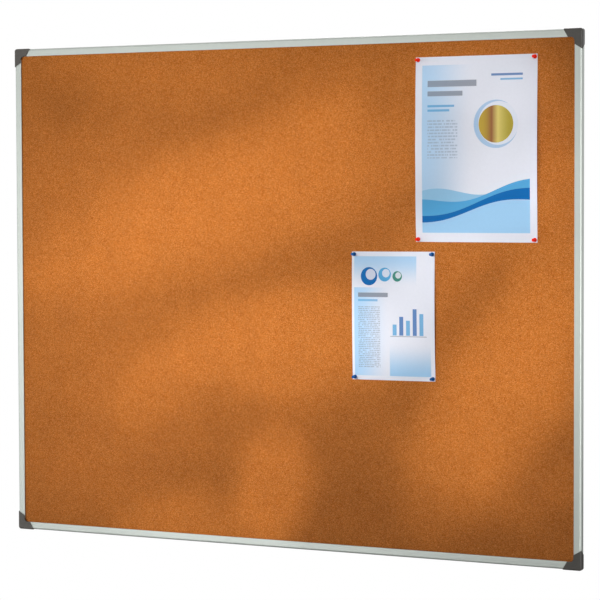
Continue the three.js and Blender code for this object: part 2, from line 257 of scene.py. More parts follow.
form = bmesh.new()
bmesh.ops.create_grid(form, x_segments=1, y_segments=1, size=FLOOR_SIDE / 2)
bmesh.ops.translate(form, verts=form.verts, vec=(0, 0, -FLOOR_DEPTH))
floor = as_object("floor", mesh_of(form, "floor"))
floor_paint, tree = bare_material("floor_paint")
matt = node(tree, "ShaderNodeBsdfPrincipled", {"Base Color": FLOOR_PALE, "Roughness": 0.8}).outputs[0]
glow = node(tree, "ShaderNodeEmission", {"Color": WHITE, "Strength": 1.0}).outputs[0]
share = times(tree, rays_that_see(tree), FLOOR_WHITE_SHARE)
both = node(tree, "ShaderNodeMixShader", {0: share, 1: matt, 2: glow})
node(tree, "ShaderNodeOutputMaterial", {"Surface": both.outputs[0]})
floor.data.materials.append(floor_paint)
print("floor", FLOOR_DEPTH, "m below the board's middle")

# %% [markdown]
# ## Lamps
#
# The photograph shows soft patches of light that cross the cork, as through a window with leaves
# before it. Cut-outs before one lamp could cast them too, but lamps of their own can be moved and
# dimmed one at a time. So each patch is a spot lamp with a fully blended edge. Scaling a spot lamp
# on one side makes its round pool an ellipse, and turning it lays the ellipse along the patch. A
# wide soft lamp at the left fills in, and one behind lights the back.
#
# The shine of the frame is made apart from that. The spots and the soft lamp at the left don't
# show in reflections. Five lit panels show in nothing else: three in the flats of the rails, and
# two in the rounded edge of the right rail.

# %% Lamps
SPOT_DISTANCE = 3.2
WATTS_PER_LEVEL = 4 * math.pi ** 2 * SPOT_DISTANCE ** 2
SPOT_SOFTNESS = 0.03
SPOT_ABOVE = 0.9
LEFT, RIGHT = -0.9, 0.7

# Each patch: its middle across and up the board, its half length and half width, all in metres,
# how far it is turned, in degrees, its level, and how far aside its lamp stands.
PATCHES = {
    "broad": (0.00, 0.08, 1.00, 0.60, 0, 0.39, LEFT),
    "left": (-0.74, 0.20, 0.50, 0.18, 90, 0.12, LEFT),
    "left_middle": (-0.56, 0.00, 0.30, 0.10, 0, 0.08, LEFT),
    "upper": (-0.15, 0.22, 0.74, 0.19, 19, 0.43, LEFT),
    "upper_bump": (-0.48, 0.34, 0.24, 0.14, 15, 0.09, LEFT),
    "upper_lobe": (0.11, 0.47, 0.17, 0.10, 10, 0.19, LEFT),
    "middle": (0.03, -0.105, 0.43, 0.16, 5, 0.46, LEFT),
    "middle_left": (-0.37, -0.24, 0.20, 0.11, 35, 0.20, LEFT),
    "left_low": (-0.46, -0.31, 0.46, 0.32, 0, 0.20, LEFT),
    "left_foot": (-0.52, -0.45, 0.18, 0.08, 0, 0.08, LEFT),
    "low_bump": (0.02, -0.25, 0.13, 0.07, 0, 0.16, LEFT),
    "low": (-0.02, -0.45, 0.18, 0.13, 75, 0.44, LEFT),
    "low_left": (-0.23, -0.58, 0.30, 0.13, 3, 0.36, LEFT),
    "top": (-0.32, 0.58, 0.46, 0.17, 0, 0.31, LEFT),
    "top_right": (0.40, 0.60, 0.44, 0.15, 0, 0.24, RIGHT),
    "right": (0.57, -0.19, 0.44, 0.19, 56, 0.58, RIGHT),
    "right_foot": (0.34, -0.35, 0.12, 0.09, 20, 0.08, RIGHT),
    "right_edge": (0.72, -0.30, 0.20, 0.10, 90, 0.16, RIGHT),
    "right_low": (0.58, -0.44, 0.18, 0.11, 0, 0.19, RIGHT),
    "notice": (0.40, 0.07, 0.16, 0.13, 0, 0.25, RIGHT),
    "poster": (0.63, 0.28, 0.28, 0.24, 90, 0.35, RIGHT),
    "poster_top": (0.51, 0.49, 0.26, 0.10, 0, 0.25, RIGHT),
    "poster_foot": (0.46, 0.17, 0.18, 0.06, 0, 0.08, RIGHT),
    "poster_low": (0.68, 0.24, 0.12, 0.12, 90, 0.13, RIGHT),
}
# Each wide lamp: watts, place, aim, width and height, in metres, and which rays don't see it.
WIDE_LAMPS = {
    "key": (48, (-3.0, -2.0, 0.5), (-0.3, 0, 0), 1.6, 1.6, "glossy"),
    "behind": (130, (-0.9, 3.2, 1.2), (0, 0, 0), 1.6, 1.6, "camera"),
    "sheen_left": (9.8, (-2.4, -3.2, -0.22), (0, 0, 0), 2.2, 1.0, "diffuse"),
    "sheen_middle": (7, (-1.6, -3.2, -0.1), (0, 0, 0), 1.0, 1.0, "diffuse"),
    "sheen_low": (4.5, (-1.75, -3.2, -1.15), (0, 0, 0), 0.6, 0.5, "diffuse"),
    "strip_right": (16, (3.6, -1.6, 0.2), (0, 0, 0), 0.6, 2.0, "diffuse"),
    "strip_front": (44, (2.05, -3.1, 0.0), (0, 0, 0), 0.65, 2.2, "diffuse"),
}


def lamp(name, kind, watts, place, x_axis, aim):
    """A lamp at a place, aimed at a point, with its own X axis laid near a direction."""
    made = as_object(name, bpy.data.lights.new(name, kind))
    made.data.energy = watts
    back = (Vector(place) - Vector(aim)).normalized()
    along = (Vector(x_axis) - back * Vector(x_axis).dot(back)).normalized()
    over = back.cross(along)
    turn = Matrix((along, over, back)).transposed().to_4x4()
    made.matrix_world = Matrix.Translation(place) @ turn
    made.visible_camera = False
    return made


for name, (across, up, half_length, half_width, turn, level, aside) in PATCHES.items():
    aim = Vector((across, 0, up))
    forward = math.sqrt(SPOT_DISTANCE ** 2 - aside ** 2 - SPOT_ABOVE ** 2)
    place = aim + Vector((aside, -forward, SPOT_ABOVE))
    x_axis = (math.cos(math.radians(turn)), 0, math.sin(math.radians(turn)))
    spot = lamp(f"patch_{name}", "SPOT", WATTS_PER_LEVEL * level, place, x_axis, aim)
    spot.data.spot_size = 2 * math.atan(half_length / SPOT_DISTANCE)
    spot.data.spot_blend = 1.0
    spot.data.shadow_soft_size = SPOT_SOFTNESS
    spot.scale = (1, half_width / half_length, 1)
    spot.visible_glossy = False

for name, (watts, place, aim, width, height, unseen_by) in WIDE_LAMPS.items():
    wide = lamp(name, "AREA", watts, place, (0, 0, 1), aim)
    wide.data.shape = "RECTANGLE"
    wide.data.size = height
    wide.data.size_y = width
    setattr(wide, f"visible_{unseen_by}", False)
print("lamps:", len(PATCHES) + len(WIDE_LAMPS))

# %% [markdown]
# ## Dark cards
#
# Metal and plastic show what stands around them. In a white room all their sides would be equally
# bright, and in the photograph the frame darkens towards its lower right, its lower edge and its
# right side. A studio hangs black cards there. These three do the same: only reflections see them,
# so they cast no shadow and take no light from the board.

# %% Dark cards
CARD_BLACK = (0.02, 0.02, 0.02, 1)

# Each card: its middle, and its size along each axis, in metres.
CARDS = {
    "card_front": ((-0.5, -3.2, -1.25), (1.5, 0, 0.9)),
    "card_below": ((-0.2, 0.32, -1.15), (2.0, 1.15, 0)),
    "card_right": ((1.5, 1.95, -1.05), (1.2, 0, 1.0)),
}

card_paint, tree = bare_material("card_paint")
black = node(tree, "ShaderNodeBsdfDiffuse", {"Color": CARD_BLACK})
node(tree, "ShaderNodeOutputMaterial", {"Surface": black.outputs[0]})
for name, (middle, (along_x, along_y, along_z)) in CARDS.items():
    form = bmesh.new()
    form.faces.new([
        form.verts.new(Vector(middle) + Vector((x * along_x, y * along_y, y * along_z)) / 2)
        for x, y in ((-1, -1), (1, -1), (1, 1), (-1, 1))
    ])
    card = as_object(name, mesh_of(form, name))
    card.data.materials.append(card_paint)
    for rays in ("camera", "diffuse", "shadow", "transmission"):
        setattr(card, f"visible_{rays}", False)
print("dark cards:", len(CARDS))

# %% [markdown]
# ## Shared surface effects
#
# Some effects turn up on several finishes: slow changes of tone, the fine grain of a moulding, and
# a lighter colour along edges, partly wear and partly a painted highlight. Each is a node group
# with its own inputs, built once and then placed in every material that needs it.

# %% Group helpers
FLOAT, VECTOR = "NodeSocketFloat", "NodeSocketVector"
ORIGIN = (0, 0, 0)


def shader_group(name, **inputs):
    """An empty shader group, and its inputs, named with their usual numbers or vectors."""
    group = bpy.data.node_groups.new(name, "ShaderNodeTree")
    for label, value in inputs.items():
        kind = VECTOR if value == ORIGIN else FLOAT
        label = label.replace("_", " ")
        group.interface.new_socket(label, in_out="INPUT", socket_type=kind).default_value = value
    return group, node(group, "NodeGroupInput").outputs[:len(inputs)]


def give(group, **results):
    """Closes a group with its named outputs, all of them numbers, and says that it is made."""
    for label in results:
        group.interface.new_socket(label, in_out="OUTPUT", socket_type=FLOAT)
    node(group, "NodeGroupOutput", results)
    print("made the group", group.name)
    return group


def placed(tree, group, **values):
    """A group placed in a material, with its inputs filled by name. Returns its outputs."""
    inputs = {label.replace("_", " "): value for label, value in values.items()}
    return node(tree, "ShaderNodeGroup", inputs, node_tree=group).outputs


# %% Slow changes of tone
tree, (place, coarse, fine) = shader_group("mottle", Place=ORIGIN, Coarse=12.0, Fine=90.0)
slow = noise(tree, place, coarse, 2.0)
quick = noise(tree, place, fine, 3.0)
mottle = give(tree, Tone=blended(tree, slow, quick, 0.5))


def slow_tone(tree, place, coarse, fine):
    """The slow changes of tone at a place, with a coarse and a fine scale per metre."""
    return placed(tree, mottle, Place=place, Coarse=coarse, Fine=fine)["Tone"]


# %% Fine grain of a moulding
tree, (place, fineness) = shader_group("moulded_grain", Place=ORIGIN, Fineness=3200.0)
pits = cells(tree, place, fineness)
cloud = noise(tree, place, fineness, 4.0)
moulded_grain = give(tree, Height=calc(tree, "ADD", pits, cloud), Tone=cloud)

# %% Painted highlight and wear along edges
EDGE_STEEPNESS = 6.0

tree, (reach,) = shader_group("edge_light", Reach=0.6 * MM)
# The lighter edge colour that this mask feeds is partly wear and partly a painted highlight.
rounded_off = node(tree, "ShaderNodeBevel", {"Radius": reach}, samples=4).outputs[0]
straight = node(tree, "ShaderNodeNewGeometry").outputs["Normal"]
off_flat = calc(tree, "SUBTRACT", 1.0, vector(tree, "DOT_PRODUCT", rounded_off, straight))
edge_light = give(tree, Edge=times(tree, off_flat, EDGE_STEEPNESS, clamp=True))

# %% Start of a material
LOW_TONE, HIGH_TONE = 0.3, 0.7
PATTERN_SHARE = 0.6


def finish(name, **values):
    """A new material with one Principled shader, whose plain values are set on its own sockets."""
    made, tree = bare_material(name)
    shader = node(tree, "ShaderNodeBsdfPrincipled")
    for key, value in values.items():
        shader.inputs[key.replace("_", " ")].default_value = value
    node(tree, "ShaderNodeOutputMaterial", {"Surface": shader.outputs[0]})
    return made, tree, shader.inputs


def place_of(tree, scale=(1, 1, 1), turn=(0, 0, 0)):
    """Where a point is on the piece, in metres, stretched and turned as a pattern needs."""
    where = node(tree, "ShaderNodeTexCoord").outputs["Object"]
    inputs = {"Vector": where, "Scale": scale, "Rotation": turn}
    return node(tree, "ShaderNodeMapping", inputs).outputs[0]


def bumped(tree, height, strength, depth):
    """A normal bent by a height, where a height of 1 stands for a depth in metres."""
    inputs = {"Height": height, "Strength": strength, "Distance": depth}
    return node(tree, "ShaderNodeBump", inputs).outputs[0]


def coat(tree, surface, tone, dark, light, edge=None, rough=None, relief=None):
    """Fills a surface: its colour runs from dark to light with a tone.

    edge is (share, reach, colour) of a lighter colour along the edges, partly wear and partly a
    painted highlight, rough is (tone, least, most) for the roughness, and relief is (height,
    strength, depth in metres).
    """
    skin = ramp(tree, tone, [(LOW_TONE, dark), (HIGH_TONE, light)])
    if edge:
        share, reach, edge_colour = edge
        # Edge mask: partly wear, partly a painted highlight.
        lit_and_worn_edge = placed(tree, edge_light, Reach=reach)["Edge"]
        skin = mixed(tree, times(tree, lit_and_worn_edge, share), skin, edge_colour)
    put(tree, surface["Base Color"], skin)
    if rough:
        rough_tone, least, most = rough
        put(tree, surface["Roughness"], spread(tree, rough_tone, LOW_TONE, HIGH_TONE, least, most))
    if relief:
        put(tree, surface["Normal"], bumped(tree, *relief))


# %% [markdown]
# ## Cork
#
# The pinning face is agglomerated cork: granules of one to three millimetres, pressed together
# with a binder and sliced. Each granule has its own shade, a few hold dark bark, and fine gaps
# lie between them. Voronoi cells are the natural pattern for granules, and a little noise bends
# their straight borders. Two sizes of cell keep it from looking like one regular mesh.

# %% Granule pattern
BEND_SCALE = 420.0
BEND_REACH = 2.2 * MM
CRUMBS_PER_CELL = 2.3
CELL_SHARE = 0.62
BARK_FROM = 0.93
GAP_STEEPNESS = 9.0
CELL_LIFT = 0.6

tree, (place, per_metre) = shader_group("granules", Place=ORIGIN, Per_Metre=520.0)
bend = vector(tree, "SUBTRACT", noise(tree, place, BEND_SCALE, 2.0, "Color"), (0.5, 0.5, 0.5))
bent = vector(tree, "ADD", place, vector(tree, "SCALE", bend, BEND_REACH))
borders = cells(tree, bent, per_metre, feature="DISTANCE_TO_EDGE")
cell, crumb = [
    split(tree, cells(tree, bent, size, "Color"), "Color")
    for size in (per_metre, times(tree, per_metre, CRUMBS_PER_CELL))
]
gap = calc(tree, "SUBTRACT", 1.0, times(tree, borders, GAP_STEEPNESS, clamp=True))
granules = give(
    tree,
    Shade=blended(tree, cell[0], crumb[0], CELL_SHARE),
    Bark=calc(tree, "GREATER_THAN", crumb[1], BARK_FROM),
    Gap=gap,
    Height=calc(tree, "SUBTRACT", times(tree, cell[2], CELL_LIFT), gap),
)

# %% Cork finish
cork, tree, surface = finish("cork", Roughness=0.6, Specular_IOR_Level=0.08)
place = place_of(tree)
grain = placed(tree, granules, Place=place, Per_Metre=720.0)
tones = ramp(tree, grain["Shade"], [
    (0.10, colour(158, 81, 17)),
    (0.42, colour(197, 113, 41)),
    (0.62, colour(206, 124, 54)),
    (0.92, colour(222, 148, 86)),
])
for part, strength, tint in (("Gap", 0.42, colour(133, 71, 21)), ("Bark", 0.55, colour(98, 54, 22))):
    tones = mixed(tree, times(tree, grain[part], strength), tones, tint)
shift = spread(tree, slow_tone(tree, place, coarse=14.0, fine=130.0), 0.35, 0.65, 0.94, 1.06)
put(tree, surface["Base Color"], vector(tree, "SCALE", tones, shift))
put(tree, surface["Normal"], bumped(tree, grain["Height"], 0.5, 0.25 * MM))
print("made the finish", cork.name)

# %% [markdown]
# ## The board's core and its back
#
# Behind the cork lies a soft fibreboard, and behind that a sheet of kraft paper closes the back.
# Fibreboard is felted from short fibres, which noise stretched two ways gives. Kraft paper has
# longer fibres that lie mostly one way, and a faint cloudiness where it is thinner.

# %% Fibre pattern
tree, (place, fine, stretch) = shader_group("fibres", Place=ORIGIN, Per_Metre=900.0, Stretch=6.0)
long = calc(tree, "DIVIDE", fine, stretch)
along, upright = [
    noise(tree, vector(tree, "MULTIPLY", place, joined(tree, x, fine, z)), 1.0, 3.0)
    for x, z in ((long, fine), (fine, long))
]
fibres = give(tree, Shade=blended(tree, along, upright, 0.5))


# %% Fibreboard and kraft finishes
def fibre_finish(name, dark, light, per_metre, stretch, depth):
    made, tree, surface = finish(name, Roughness=0.92, Specular_IOR_Level=0.2)
    place = place_of(tree)
    shade = placed(tree, fibres, Place=place, Per_Metre=per_metre, Stretch=stretch)["Shade"]
    slow = slow_tone(tree, place, coarse=5.0, fine=60.0)
    tone = blended(tree, shade, slow, PATTERN_SHARE)
    coat(tree, surface, tone, dark, light, relief=(shade, 0.35, depth))
    return made


fibreboard = fibre_finish(
    "fibreboard", colour(132, 103, 68), colour(190, 160, 118),
    per_metre=1400.0, stretch=5.0, depth=0.12 * MM,
)
kraft = fibre_finish(
    "kraft", colour(146, 112, 72), colour(184, 148, 104),
    per_metre=700.0, stretch=9.0, depth=0.05 * MM,
)

for name, skin in (("cork_sheet", cork), ("core_board", fibreboard), ("backing_sheet", kraft)):
    nodes[name].data.materials.clear()
    nodes[name].data.materials.append(skin)
print("panel dressed in cork, fibreboard and kraft")

# %% [markdown]
# ## Outlines and solids
#
# Rails, pins and screws are all drawn as outlines with round corners. One function draws such an
# outline from corners that each have a radius, so that no edge is left knife sharp. Others take
# the finished mesh of a piece and even out its shading: faces are smooth across small angles, and
# large flat faces keep their own normals.

# %% Outline helper
ARC_STEP = math.radians(9)


def rounded(corners):
    """An outline through (x, y, radius) corners, with an arc in place of each corner."""
    points = []
    for at, (x, y, radius) in enumerate(corners):
        corner = Vector((x, y))
        if radius == 0:
            points.append(corner)
            continue
        before = (Vector(corners[at - 1][:2]) - corner).normalized()
        after = (Vector(corners[(at + 1) % len(corners)][:2]) - corner).normalized()
        half = before.angle(after) / 2
        middle = corner + (before + after).normalized() * (radius / math.sin(half))
        reach = radius / math.tan(half)
        first = corner + before * reach - middle
        last = corner + after * reach - middle
        start = math.atan2(first.y, first.x)
        sweep = (math.atan2(last.y, last.x) - start + math.pi) % (2 * math.pi) - math.pi
        steps = max(2, math.ceil(abs(sweep) / ARC_STEP))
        for step in range(steps + 1):
            angle = start + sweep * step / steps
            points.append(middle + radius * Vector((math.cos(angle), math.sin(angle))))
    return points


# %% Finishing helpers
SMOOTH_ANGLE = math.radians(35)
FACE_WEIGHT = 100


def baked(piece, name):
    """The piece's evaluated mesh, as plain data of its own. The piece and its old mesh go."""
    bpy.context.view_layer.update()
    graph = bpy.context.evaluated_depsgraph_get()
    mesh = bpy.data.meshes.new_from_object(
        piece.evaluated_get(graph), preserve_all_data_layers=True, depsgraph=graph
    )
    mesh.name = name
    old = piece.data
    bpy.data.objects.remove(piece)
    if old.users == 0:
        bpy.data.meshes.remove(old)
    return mesh


def evened(mesh):
    """Smooth shading that breaks at edges, with large faces keeping their own normals."""
    name = mesh.name
    mesh.shade_smooth()
    mesh.set_sharp_from_angle(angle=SMOOTH_ANGLE)
    piece = as_object("evening", mesh)
    weighted = piece.modifiers.new("weighted", "WEIGHTED_NORMAL")
    weighted.keep_sharp = True
    weighted.weight = FACE_WEIGHT
    return baked(piece, name)


def rider(name, mesh, skin, body, slot, *replaced):
    """A finished piece: it wears a finish, rides on a body and stands for its CAD nodes."""
    mesh.materials.clear()
    mesh.materials.append(skin)
    piece = as_object(name, mesh)
    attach(piece, body)
    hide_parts(*replaced)
    return piece


# %% [markdown]
# ## Anodised aluminium
#
# The rails are extruded, so the die leaves fine lines along them, and anodising gives a satin
# surface that is part mirror and part matt. An anisotropic shader would stretch the highlights,
# but it shows no lines close up. So the lines are noise that is stretched about two thousand times
# along the rail. A rail that stands upright has its lines upright too, and one function makes both
# finishes, with the pattern turned for one of them.

# %% Lines from the die
PER_METRE_ALONG = 1.2
BROAD_SCALE = 0.18

tree, (place, per_metre) = shader_group("drawn_lines", Place=ORIGIN, Per_Metre=2200.0)
squeeze = joined(tree, PER_METRE_ALONG, per_metre, per_metre)
stretched = vector(tree, "MULTIPLY", place, squeeze)
fine = noise(tree, stretched, 1.0, 2.0)
broad = noise(tree, stretched, BROAD_SCALE, 1.0)
drawn_lines = give(tree, Height=calc(tree, "ADD", fine, broad), Tone=broad)


# %% Rail finish
def rail_finish(name, turn):
    made, tree, surface = finish(name, Metallic=0.62, IOR=1.5)
    place = place_of(tree, turn=(0, turn, 0))
    lines = placed(tree, drawn_lines, Place=place)
    slow = slow_tone(tree, place, coarse=6.0, fine=70.0)
    tone = blended(tree, lines["Tone"], slow, PATTERN_SHARE)
    coat(
        tree, surface, tone, colour(176, 182, 176), colour(189, 195, 189),
        # The near-white edge colour is a painted highlight on the rail's edges, partly wear.
        edge=(0.35, 0.5 * MM, colour(226, 230, 226)),
        rough=(lines["Tone"], 0.36, 0.46),
        relief=(lines["Height"], 0.25, 0.02 * MM),
    )
    return made


rail_finishes = {
    "across": rail_finish("anodised_across", 0),
    "upright": rail_finish("anodised_upright", math.pi / 2),
}
print("made two rail finishes")

# %% [markdown]
# ## The rails
#
# Each rail is one section pushed along a line: a hollow chamber at the outside, and a slot at the
# inside that grips the panel. That is a rule, so Geometry Nodes make it. The section is drawn
# once as a flat face with the chamber as a hole. The tree pushes it to the rail's length, closes
# the start with a turned copy, and cuts a countersink near each end for the bracket screws.

# %% Sizes from the frame
# The rail across the bottom gives the sizes. Across it runs +Z, and forward is -Y.
BOARD_WIDTH = 2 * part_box("rail_right")[1].x
BOARD_HEIGHT = 2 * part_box("rail_top")[1].z
low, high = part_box("rail_bottom")
RAIL_START = low.x + BOARD_WIDTH / 2
RAIL_FACE = high.z - low.z
RAIL_DEPTH = -low.y
print("board in mm:", round(BOARD_WIDTH / MM, 2), "x", round(BOARD_HEIGHT / MM, 2))
print("rail face and depth in mm:", round(RAIL_FACE / MM, 2), round(RAIL_DEPTH / MM, 2))

# %% Rail section
RAIL_WALL = 1.2 * MM
OUTER_ROUND = 5 * MM
CHAMBER_END = 10 * MM
SLOT_START = CHAMBER_END + RAIL_WALL
REAR_LIP = 3 * MM
BEAD_WIDTH = 1.2 * MM
BEAD_HEIGHT = 1 * MM
LIP_ROUND = 0.6 * MM
EDGE_ROUND = 0.25 * MM
LIP_BOTTOM = RAIL_DEPTH - RAIL_WALL

# Each corner: how far across the rail, how far forward of the wall, and its radius.
SECTION = [
    (0, 0, EDGE_ROUND),
    (SLOT_START + REAR_LIP, 0, EDGE_ROUND),
    (SLOT_START + REAR_LIP, RAIL_WALL, EDGE_ROUND),
    (SLOT_START, RAIL_WALL, EDGE_ROUND),
    (SLOT_START, LIP_BOTTOM, EDGE_ROUND),
    (RAIL_FACE - BEAD_WIDTH, LIP_BOTTOM, EDGE_ROUND),
    (RAIL_FACE - BEAD_WIDTH, LIP_BOTTOM - BEAD_HEIGHT, EDGE_ROUND),
    (RAIL_FACE, LIP_BOTTOM - BEAD_HEIGHT, EDGE_ROUND),
    (RAIL_FACE, RAIL_DEPTH, LIP_ROUND),
    (0, RAIL_DEPTH, OUTER_ROUND),
]
CHAMBER = [
    (RAIL_WALL, RAIL_WALL, EDGE_ROUND),
    (CHAMBER_END, RAIL_WALL, EDGE_ROUND),
    (CHAMBER_END, LIP_BOTTOM, EDGE_ROUND),
    (RAIL_WALL, LIP_BOTTOM, OUTER_ROUND - RAIL_WALL),
]


def rail_section():
    """The section as a flat face at X = 0, with the chamber as a hole."""
    form = bmesh.new()
    for corners in (SECTION, CHAMBER):
        ring = [form.verts.new((0, -point.y, point.x)) for point in rounded(corners)]
        for first, second in zip(ring, ring[1:] + ring[:1]):
            form.edges.new((first, second))
    bmesh.ops.triangle_fill(form, use_beauty=True, edges=form.edges[:], normal=(1, 0, 0))
    for face in form.faces:
        if face.normal.x < 0:
            face.normal_flip()
    return mesh_of(form, "rail_section")


# %% Geometry tree helpers
INTEGER, MATERIAL, OBJECT = "NodeSocketInt", "NodeSocketMaterial", "NodeSocketObject"
GEOMETRY = "NodeSocketGeometry"


def geometry_group(name, **inputs):
    """An empty geometry tree, and its inputs, of which the first is the start mesh."""
    group = bpy.data.node_groups.new(name, "GeometryNodeTree")
    inputs = {"Start": GEOMETRY, **inputs}
    for label, kind in inputs.items():
        group.interface.new_socket(label, in_out="INPUT", socket_type=kind)
    group.interface.new_socket("Geometry", in_out="OUTPUT", socket_type=GEOMETRY)
    return group, node(group, "NodeGroupInput").outputs[:len(inputs)]


def give_geometry(group, geometry, skin):
    """Closes a geometry tree: copies become real, and the mesh wears a finish."""
    real = node(group, "GeometryNodeRealizeInstances", {"Geometry": geometry}).outputs[0]
    dressed = node(group, "GeometryNodeSetMaterial", {"Geometry": real, "Material": skin})
    node(group, "NodeGroupOutput", {"Geometry": dressed.outputs[0]})
    print("the tree", group.name, "has", len(group.nodes), "nodes")
    return group


def grown(name, start, group, **values):
    """The mesh that a tree grows from a start mesh, with its inputs set by their identifiers."""
    piece = as_object(name, start)
    modifier = piece.modifiers.new("growth", "NODES")
    modifier.node_group = group
    for item in group.interface.items_tree:
        if item.name in values:
            modifier[item.identifier] = values[item.name]
    return baked(piece, name)


# %% Rail tree
RAIL_WELD = 0.001 * MM
SINK_SIDES = 48

tree, (start, length, from_end, across, wide, narrow, depth, skin) = geometry_group(
    "rail", Length=FLOAT, From_End=FLOAT, Across=FLOAT, Wide=FLOAT, Narrow=FLOAT, Depth=FLOAT,
    Finish=MATERIAL,
)
pushed = node(tree, "GeometryNodeExtrudeMesh", {
    "Mesh": start,
    "Offset": joined(tree, length),
    "Individual": False,
}, mode="FACES")
start_face = node(tree, "GeometryNodeFlipFaces", {"Mesh": start})
closed = node(tree, "GeometryNodeJoinGeometry")
for end in (pushed, start_face):
    tree.links.new(end.outputs["Mesh"], closed.inputs[0])
welded = node(tree, "GeometryNodeMergeByDistance", {
    "Geometry": closed.outputs[0],
    "Distance": RAIL_WELD,
})
cone = node(tree, "GeometryNodeMeshCone", {
    "Vertices": SINK_SIDES,
    "Radius Top": narrow,
    "Radius Bottom": wide,
    "Depth": depth,
})
places = node(tree, "GeometryNodeMeshLine", {
    "Count": 2,
    "Start Location": joined(tree, from_end, 0, across),
    "Offset": joined(tree, calc(tree, "SUBTRACT", length, from_end), 0, across),
}, mode="END_POINTS")
sinks = node(tree, "GeometryNodeInstanceOnPoints", {
    "Points": places.outputs[0],
    "Instance": cone.outputs["Mesh"],
    "Rotation": (math.radians(90), 0, 0),
})
real_sinks = node(tree, "GeometryNodeRealizeInstances", {"Geometry": sinks.outputs[0]})
cut = node(tree, "GeometryNodeMeshBoolean", {
    "Mesh 1": welded.outputs[0],
    "Mesh 2": real_sinks.outputs[0],
}, operation="DIFFERENCE", solver="EXACT")
rail_tree = give_geometry(tree, cut.outputs["Mesh"], skin)

# %% Rails
SCREW_ALONG = 47 * MM
SCREW_ACROSS = 5.6 * MM
SINK_WIDE = 2.9 * MM
SINK_NARROW = 1.55 * MM
SINK_DEPTH = 1.3 * MM
CORNERS = ("bottom_left", "bottom_right", "top_right", "top_left")
CORNER_SIGNS = ((-1, -1), (1, -1), (1, 1), (-1, 1))
SIDES = ("bottom", "right", "top", "left")


def corner_place(turn):
    """The place of a corner of the board, where +X runs along one rail and +Z along the next."""
    right, up = CORNER_SIGNS[turn]
    shift = Matrix.Translation((right * BOARD_WIDTH / 2, 0, up * BOARD_HEIGHT / 2))
    return shift @ Matrix.Rotation(math.radians(-90 * turn), 4, "Y")


for turn, side in enumerate(SIDES):
    direction, span = ("across", BOARD_WIDTH) if turn % 2 == 0 else ("upright", BOARD_HEIGHT)
    skin = rail_finishes[direction]
    mesh = evened(grown(
        f"{side}_rail", rail_section(), rail_tree, Length=span - 2 * RAIL_START,
        From_End=SCREW_ALONG - RAIL_START, Across=SCREW_ACROSS, Wide=SINK_WIDE,
        Narrow=SINK_NARROW, Depth=SINK_DEPTH, Finish=skin,
    ))
    mesh.transform(corner_place(turn) @ Matrix.Translation((RAIL_START, 0, 0)))
    rider(f"{side}_rail", mesh, skin, "board", "anodised_rail", f"rail_{side}")
    print(side, "rail:", len(mesh.polygons), "faces")

# %% [markdown]
# ## Moulded plastic
#
# The corner caps are moulded in dark warm grey plastic, with the fine dull grain that a
# spark-eroded mould leaves, and the brackets behind them in black. As real shape, grain under half
# a millimetre would take millions of faces, so it is only relief in the finish. Edges are painted
# a little lighter: partly polish from hands, partly a painted highlight.

# %% Plastic finishes
ROUGHNESS_SWING = 0.06


def plastic_finish(name, dark, light, edge, roughness):
    made, tree, surface = finish(name, Specular_IOR_Level=0.5)
    place = place_of(tree)
    grain = placed(tree, moulded_grain, Place=place)
    coat(
        tree, surface, slow_tone(tree, place, coarse=25.0, fine=300.0), dark, light,
        # The lighter edge colour is partly polish and partly a painted highlight.
        edge=(0.5, 0.5 * MM, edge),
        rough=(grain["Tone"], roughness - ROUGHNESS_SWING, roughness + ROUGHNESS_SWING),
        relief=(grain["Height"], 0.22, 0.05 * MM),
    )
    return made


cap_plastic = plastic_finish(
    "cap_plastic", colour(68, 65, 60), colour(78, 75, 69), colour(110, 108, 101), 0.36
)
bracket_plastic = plastic_finish(
    "bracket_plastic", colour(40, 41, 43), colour(50, 51, 53), colour(84, 85, 87), 0.55
)
print("made two plastics")

# %% [markdown]
# ## Corner caps and brackets
#
# One cap and one bracket are each used four times, turned by a quarter. They could be drawn anew,
# but their steps, pegs and sockets have to fit one another, so their form comes from the
# engineered solids. Those are loose triangles. A copy is welded, its flat areas are made whole
# again, and a fine bevel takes the knife edge off every corner, as a mould does.

# %% From a solid to a moulding
WELD = 0.002 * MM
FLAT = math.radians(0.4)
SHARP = math.radians(40)
EASE_STEPS = 2


def moulded(name, source, edge, home):
    """A welded copy of a solid, brought to a corner's own place, with its edges eased."""
    form = bmesh.new()
    form.from_mesh(nodes[source].data)
    form.transform(home.inverted())
    bmesh.ops.remove_doubles(form, verts=form.verts, dist=WELD)
    bmesh.ops.dissolve_limit(form, angle_limit=FLAT, verts=form.verts, edges=form.edges)
    piece = as_object("moulding", mesh_of(form, name))
    bevel = piece.modifiers.new("eased", "BEVEL")
    bevel.width = edge
    bevel.segments = EASE_STEPS
    bevel.limit_method = "ANGLE"
    bevel.angle_limit = SHARP
    bevel.miter_outer = "MITER_ARC"
    return evened(baked(piece, name))


one_cap = moulded("corner_cap", "corner_cap_bottom_left", 0.25 * MM, corner_place(0))
one_bracket = moulded("corner_bracket", "corner_bracket_bottom_left", 0.2 * MM, corner_place(0))
for turn, corner in enumerate(CORNERS):
    for name, one, skin, body, slot in (
        ("cap", one_cap, cap_plastic, f"cap_{corner}", "cap_plastic"),
        ("bracket", one_bracket, bracket_plastic, "board", "bracket_plastic"),
    ):
        mesh = one.copy()
        mesh.transform(corner_place(turn))
        rider(f"{corner}_{name}", mesh, skin, body, slot, f"corner_{name}_{corner}")
print("cap faces:", len(one_cap.polygons), "bracket faces:", len(one_bracket.polygons))

# %% [markdown]
# ## Bracket screws
#
# Eight small countersunk screws hold the rails to the brackets from behind. One screw is turned
# from an outline, and a cross is sunk in its head. Geometry Nodes then set it on eight points,
# each turned by a random angle, because no fitter leaves the crosses in line.

# %% Turned solids
TURNED_STEPS = 64


